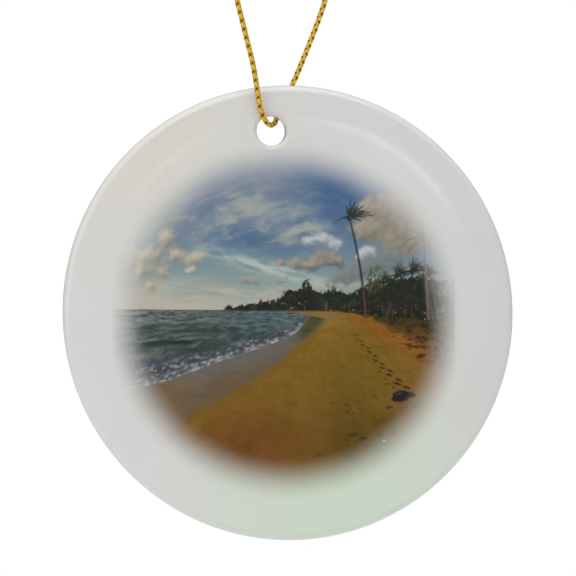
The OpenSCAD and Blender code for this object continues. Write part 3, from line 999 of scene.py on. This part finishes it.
def lip_circle(share):
    """The hole's circle at a share of its rounded lip: 0 on the face, 1 in the bore."""
    return circle(HOLE_R + HOLE_LIP * (1 - math.sin(share * math.pi / 2)), HOLE_SIDES, HOLE)


def lip_rings(first, last, face):
    """Rings down the hole's lip between two shares of it, on the front or the back."""
    rings = []
    for share in np.linspace(first, last, LIP_STEPS):
        flat = lip_circle(share)
        drop = HOLE_LIP * (1 - math.cos(share * math.pi / 2))
        if face == "front":
            rings.append(at_height(flat, -(HALF_T - (drop + front_drop(np.hypot(*flat.T))))))
        else:
            rings.append(at_height(flat, HALF_T - drop))
    return rings


def rim_points():
    """Points of the rings on the rim, without those near the hole."""
    flat = np.vstack([circle(r, RIM_SIDES) for r in RIM_RINGS])
    return flat[np.hypot(*(flat - HOLE).T) > LIP_R + LIP_CLEARANCE]


def sunk_sheet():
    """The face between the coating and the porcelain, which both pieces share."""
    inside = honeycomb(COARSE_STEP, COARSE_R)
    flat, faces = filled([circle(COAT_END_R, DISC_SIDES)], inside, lip_circle(COAT_LIP_SHARE))
    return at_front(flat, COAT_T), faces


def coating_parts():
    """The coating's surfaces: its printed front, the start of the hole's lip, its edge and its back."""
    rings = [circle(r, DISC_SIDES) for r in (COAT_END_R, *EDGE_RINGS)]
    inside = np.vstack([honeycomb(FINE_STEP, FINE_R), rim_points()])
    flat, faces = filled(rings, inside, lip_circle(0))
    lip = lip_rings(0, COAT_LIP_SHARE, "front")
    edge = [at_front(rings[0]), at_front(rings[0], COAT_T)]
    return [(at_front(flat), faces), banded(lip), banded(edge), sunk_sheet()]


def edge_circle(turn):
    """The circle round the disc's rounded edge at an angle from its widest place."""
    return circle(EDGE_CENTRE_R + EDGE_R * math.cos(turn), DISC_SIDES)


def porcelain_parts():
    """The blank's surfaces: the recess under the coating, the rim, the back and the hole."""
    coat_end = circle(COAT_END_R, DISC_SIDES)
    rim = [at_front(coat_end, COAT_T), at_front(coat_end)]
    centre_y = -(HALF_T - EDGE_TOP_DROP) + EDGE_R * math.cos(RIM_SLOPE)
    first = math.acos((COAT_END_R - EDGE_CENTRE_R) / EDGE_R)
    for turn in np.linspace(first, 0, EDGE_STEPS)[1:]:
        rim.append(at_height(edge_circle(turn), centre_y - EDGE_R * math.sin(turn)))
    for turn in np.linspace(0, math.pi / 2, EDGE_STEPS):
        rim.append(at_height(edge_circle(turn), HALF_T - EDGE_R + EDGE_R * math.sin(turn)))
    inside = honeycomb(COARSE_STEP, EDGE_CENTRE_R - 1)
    back_flat, back_faces = filled([circle(EDGE_CENTRE_R, DISC_SIDES)], inside, lip_circle(0))
    front_lip = lip_rings(COAT_LIP_SHARE, 1, "front")
    back_lip = lip_rings(1, 0, "back")
    bore = [front_lip[-1] + share * (back_lip[0] - front_lip[-1]) for share in (0, 0.5, 1)]
    hole = [*front_lip, *bore[1:], *back_lip[1:]]
    return [sunk_sheet(), banded(rim), (at_height(back_flat, HALF_T), back_faces), banded(hole)]


def disc_piece(name, parts, material, values=None):
    """A closed piece of the disc, welded from its surfaces."""
    points, faces, _ = joined([(p, np.asarray(f).tolist(), {}) for p, f in parts])
    made = mesh_piece(name, material, points + DISC_MIDDLE, faces, values(points) if values else None)
    weld(made.data)
    made.data.set_sharp_from_angle(angle=SHARP_ANGLE)
    return made


def weld(mesh):
    """Joins the surfaces at their shared points and turns every face outwards."""
    work = bmesh.new()
    work.from_mesh(mesh)
    bmesh.ops.remove_doubles(work, verts=work.verts, dist=WELD_REACH * MM)
    bmesh.ops.recalc_face_normals(work, faces=work.faces)
    work.to_mesh(mesh)
    work.free()


def ink_values(points):
    """The picture's colour and the share of ink at each point of the coating."""
    x, z = points[:, 0] - PICTURE_MIDDLE[0], points[:, 2] - PICTURE_MIDDLE[1]
    shades = paint_beach(x, z)
    linear = np.where(shades <= 0.04045, shades / 12.92, ((shades + 0.055) / 1.055) ** 2.4)
    linear = np.clip((linear - INK_VEIL) / INK_GAIN, 0.001, 1)
    colour = np.hstack([linear, np.ones((len(x), 1))])
    return {"ink_colour": colour, "ink_share": ink(x, z)}


# ---- the cord and its knot ----
gold = gold_braid_material()
loop_line = smoothed(LOOP_ROUTE)
loop = mesh_piece("braided_loop", gold, *braid(loop_line))
knot = mesh_piece("tied_knot", gold, *joined([braid(smoothed(line)) for line in knot_lines()]))
tail_ends = [frayed(smoothed(LEFT_TAIL), seed=3), frayed(smoothed(RIGHT_TAIL), seed=4)]
tails = mesh_piece("frayed_tails", gold, *joined(tail_ends))

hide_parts("hanging_cord")
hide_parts("cord_knot")
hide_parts("cord_tails")
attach(knot, "loop_top")
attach(tails, "loop_top")
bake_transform(loop)

# ---- the disc's two pieces ----
porcelain = disc_piece("porcelain_blank", porcelain_parts(), porcelain_material())
coating = disc_piece("printed_coat", coating_parts(), coating_material(), ink_values)
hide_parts("ceramic_disc")
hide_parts("printed_coating")
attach(porcelain, "disc")
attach(coating, "disc")


# ---- the studio ----
def way_to(azimuth, elevation):
    """The direction at angles in degrees from the front of the disc."""
    a, e = math.radians(azimuth), math.radians(elevation)
    return Vector((math.sin(a) * math.cos(e), -math.cos(a) * math.cos(e), math.sin(e)))


def aimed(made, place, target):
    """Puts a lamp or the camera in its place, looking at a target, with its top up."""
    made.location = place
    made.rotation_mode = "QUATERNION"
    made.rotation_quaternion = (Vector(target) - Vector(place)).to_track_quat("-Z", "Y")
    bpy.context.scene.collection.objects.link(made)


LAMPS = [
    # name, azimuth, elevation, distance, size, watts, colour, whether gloss mirrors it
    ("rim_light", 13, 8.5, 1.0, 0.11, 0.075, (1, 1, 1), True),
    ("top_light", 4, 72, 0.8, 0.9, 2.3, (1, 1, 1), True),
    ("rim_light_left", 4.2, 8.2, 1.0, 0.1, 0.03, (1, 1, 1), True),
    ("left_light", -62, 14, 0.3, 0.2, 0.12, (1, 0.97, 0.92), True),
    ("back_light", 160, 20, 0.9, 0.6, 3.6, (1, 1, 1), False),
]


def soft_light(name, azimuth, elevation, distance, size, watts, colour, in_gloss):
    """A soft round light, aimed at the disc, that the camera doesn't see."""
    lamp = bpy.data.lights.new(name, "AREA")
    lamp.shape = "DISK"
    lamp.size = size
    lamp.energy = watts
    lamp.color = colour
    made = bpy.data.objects.new(name, lamp)
    made.visible_camera = False
    made.visible_glossy = in_gloss
    target = Vector(DISC_MIDDLE * MM)
    aimed(made, target + way_to(azimuth, elevation) * distance, target)


def studio_world(seen, below, above, mirrored, behind):
    """Light all round: white to the camera, and on the object stronger from above and weaker from behind."""
    world = bpy.data.worlds.new("studio")
    bpy.context.scene.world = world
    world.use_nodes = True
    tree = world.node_tree
    background = tree.nodes["Background"]
    rays = add(tree, "ShaderNodeLightPath")
    way = add(tree, "ShaderNodeSeparateXYZ", {0: add(tree, "ShaderNodeTexCoord").outputs["Generated"]})
    height = way.outputs["Z"]
    soft = ranged(tree, height, -1, 1, below, above)
    low = ranged(tree, height, -0.6, 0.1, 0.02, mirrored)
    high = ranged(tree, height, 0.25, 0.8, 0.0, 5 * mirrored)
    light = either(tree, rays.outputs["Is Glossy Ray"], soft, total(tree, low, high))
    light = product(tree, light, ranged(tree, way.outputs["Y"], 0.0, 0.5, 1.0, behind))
    light = either(tree, rays.outputs["Is Camera Ray"], light, seen)
    background.inputs["Color"].default_value = (1, 1, 1, 1)
    join(tree, light, background.inputs["Strength"])


studio_world(seen=1.0, below=0.1, above=0.775, mirrored=0.27, behind=0.4)
for lamp in LAMPS:
    soft_light(*lamp)

FLOOR_R = 3000
FLOOR_SIDES = 96
FLOOR_HEIGHT = -0.2
floor_points = at_height(circle(FLOOR_R, FLOOR_SIDES), 0)[:, [0, 2, 1]]
floor = mesh_piece("studio_floor", floor_material(), floor_points, [list(range(FLOOR_SIDES))])
floor.location = (0, 0, FLOOR_HEIGHT)

bpy.context.scene.view_settings.view_transform = "Standard"
lens = bpy.data.cameras.new("photo_camera")
lens.lens = CAMERA_LENS
lens.clip_start = 0.01
camera = bpy.data.objects.new("photo_camera", lens)
aimed(camera, AIM + way_to(CAMERA_AZIMUTH, CAMERA_ELEVATION) * CAMERA_DISTANCE, AIM)
bpy.context.scene.camera = camera
